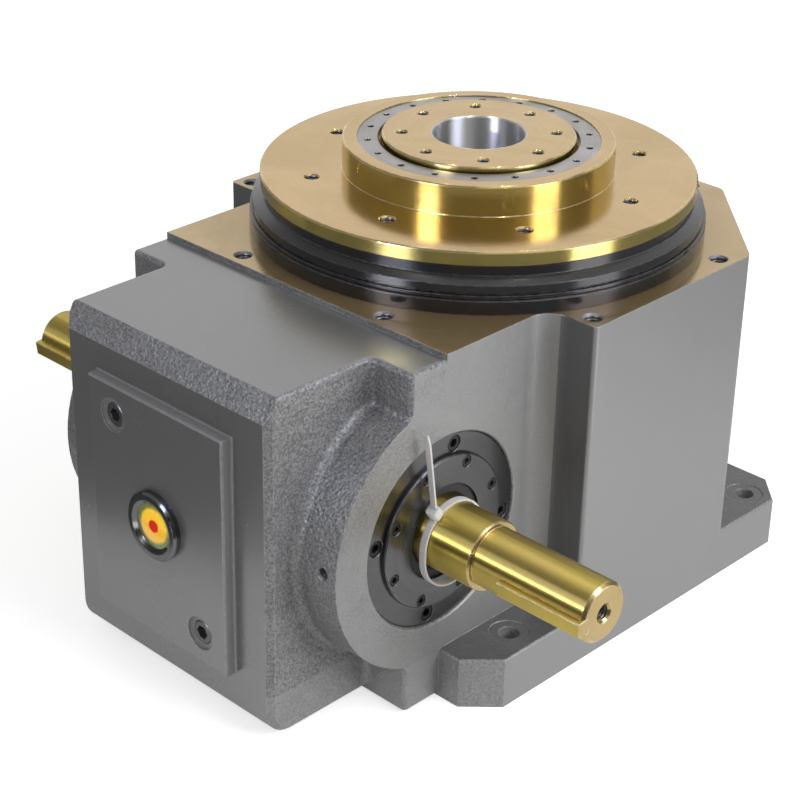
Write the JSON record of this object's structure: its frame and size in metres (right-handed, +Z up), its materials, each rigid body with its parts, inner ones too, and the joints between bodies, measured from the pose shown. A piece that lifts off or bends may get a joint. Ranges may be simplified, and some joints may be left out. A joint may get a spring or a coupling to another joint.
{
  "type": "cam indexing gearbox",
  "caption": "Cam indexing gearbox with a rotating output flange round a fixed hollow column, a globoidal cam on a keyed through shaft, and a cast housing with feet",
  "frame": {"origin": "output axis at the mounting face", "axes": "+Z up along the output axis, +X along the input shaft, -Y towards the cam case"},
  "size_m": [0.495, 0.4455, 0.2986],
  "materials": {
    "casting": "grey cast iron, rough as cast, with machined top, pad, sides and feet",
    "gold_steel": "fine-turned steel under a straw-coloured film of oil",
    "steel": "machined steel, fine tool marks",
    "ground_steel": "hardened and ground steel, bright",
    "black_steel": "black oxide, glossy with oil, bright at the edges",
    "grey_steel": "turned steel with a dark grey oxide",
    "dark_steel": "turned steel with a dark oxide, satin",
    "screw_steel": "black oxide screws",
    "seal_rubber": "black nitrile rubber",
    "chrome_plate": "bright plated ring",
    "clear_glass": "clear domed glass",
    "yellow_reflector": "yellow reflector with a red level mark",
    "white_nylon": "natural white nylon"
  },
  "bodies": {
    "casing": {"base_cover": "casting", "base_cover_screws": "screw_steel", "bearing_retainer": "black_steel", "centre_column": "gold_steel", "column_nut": "black_steel", "drain_plug": "steel", "filler_plug": "steel", "front_bearing_cover": "dark_steel", "front_bearing_cup": "ground_steel", "front_cartridge": "dark_steel", "front_cartridge_screws": "screw_steel", "front_cover_screws": "screw_steel", "front_shaft_seal": "seal_rubber", "housing": "casting", "lower_bearing_outer_race": "ground_steel", "output_bearing_outer_race": "ground_steel", "output_seal": "seal_rubber", "rear_bearing_cover": "dark_steel", "rear_bearing_cup": "ground_steel", "rear_cartridge": "dark_steel", "rear_cartridge_screws": "screw_steel", "rear_cover_screws": "screw_steel", "rear_shaft_seal": "seal_rubber", "retainer_screws": "screw_steel", "sight_glass_body": "chrome_plate", "sight_glass_lens": "clear_glass", "sight_glass_reflector": "yellow_reflector"},
    "output": {"follower_studs": "ground_steel", "follower_washers": "steel", "hub_cover_ring": "grey_steel", "hub_seal": "seal_rubber", "lower_bearing_inner_race": "ground_steel", "output_bearing_inner_race": "ground_steel", "output_flange": "gold_steel", "ring_screws": "screw_steel", "rotor": "steel", "rotor_screws": "screw_steel", "seal_ring": "black_steel"},
    "input": {"cable_tie": "white_nylon", "cam_key": "steel", "front_bearing_cone": "ground_steel", "front_cam_spacer": "steel", "front_shaft_key": "steel", "indexing_cam": "ground_steel", "input_shaft": "ground_steel", "rear_bearing_cone": "ground_steel", "rear_cam_spacer": "steel", "rear_shaft_key": "steel"},
    "output_bearing_cage": {"output_bearing_rollers": "ground_steel"},
    "lower_bearing_cage": {"lower_bearing_rollers": "ground_steel"},
    "front_bearing_cage": {"front_bearing_rollers": "ground_steel"},
    "rear_bearing_cage": {"rear_bearing_rollers": "ground_steel"},
    "follower_1": {"follower_roller_1": "ground_steel"},
    "follower_2": {"follower_roller_2": "ground_steel"},
    "follower_3": {"follower_roller_3": "ground_steel"},
    "follower_4": {"follower_roller_4": "ground_steel"},
    "follower_5": {"follower_roller_5": "ground_steel"},
    "follower_6": {"follower_roller_6": "ground_steel"},
    "follower_7": {"follower_roller_7": "ground_steel"},
    "follower_8": {"follower_roller_8": "ground_steel"}
  },
  "joints": [
    {"name": "output_spin", "type": "hinge", "parent": "casing", "child": "output", "pos_m": [0, 0, 0.12], "axis": [0, 0, 1], "continuous": true},
    {"name": "input_spin", "type": "hinge", "parent": "casing", "child": "input", "pos_m": [0, -0.16, 0.12], "axis": [1, 0, 0], "continuous": true},
    {"name": "output_cage_spin", "type": "hinge", "parent": "casing", "child": "output_bearing_cage", "pos_m": [0, 0, 0.221], "axis": [0, 0, 1], "continuous": true},
    {"name": "lower_cage_spin", "type": "hinge", "parent": "casing", "child": "lower_bearing_cage", "pos_m": [0, 0, 0.046], "axis": [0, 0, 1], "continuous": true},
    {"name": "front_cage_spin", "type": "hinge", "parent": "casing", "child": "front_bearing_cage", "pos_m": [0.094, -0.16, 0.12], "axis": [1, 0, 0], "continuous": true},
    {"name": "rear_cage_spin", "type": "hinge", "parent": "casing", "child": "rear_bearing_cage", "pos_m": [-0.094, -0.16, 0.12], "axis": [1, 0, 0], "continuous": true},
    {"name": "follower_1_spin", "type": "hinge", "parent": "output", "child": "follower_1", "pos_m": [0, -0.094, 0.12], "axis": [0, -1, 0], "continuous": true},
    {"name": "follower_2_spin", "type": "hinge", "parent": "output", "child": "follower_2", "pos_m": [0.06647, -0.06647, 0.12], "axis": [0.7071, -0.7071, 0], "continuous": true},
    {"name": "follower_3_spin", "type": "hinge", "parent": "output", "child": "follower_3", "pos_m": [0.094, 0, 0.12], "axis": [1, 0, 0], "continuous": true},
    {"name": "follower_4_spin", "type": "hinge", "parent": "output", "child": "follower_4", "pos_m": [0.06647, 0.06647, 0.12], "axis": [0.7071, 0.7071, 0], "continuous": true},
    {"name": "follower_5_spin", "type": "hinge", "parent": "output", "child": "follower_5", "pos_m": [0, 0.094, 0.12], "axis": [0, 1, 0], "continuous": true},
    {"name": "follower_6_spin", "type": "hinge", "parent": "output", "child": "follower_6", "pos_m": [-0.06647, 0.06647, 0.12], "axis": [-0.7071, 0.7071, 0], "continuous": true},
    {"name": "follower_7_spin", "type": "hinge", "parent": "output", "child": "follower_7", "pos_m": [-0.094, 0, 0.12], "axis": [-1, 0, 0], "continuous": true},
    {"name": "follower_8_spin", "type": "hinge", "parent": "output", "child": "follower_8", "pos_m": [-0.06647, -0.06647, 0.12], "axis": [-0.7071, -0.7071, 0], "continuous": true}
  ],
  "couplings": [
    {"joint": "input_spin", "follows": "output_spin", "ratio": 8},
    {"joint": "output_cage_spin", "follows": "output_spin", "ratio": 0.5},
    {"joint": "lower_cage_spin", "follows": "output_spin", "ratio": 0.4697},
    {"joint": "front_cage_spin", "follows": "output_spin", "ratio": 3.39},
    {"joint": "rear_cage_spin", "follows": "output_spin", "ratio": 3.39}
  ]
}
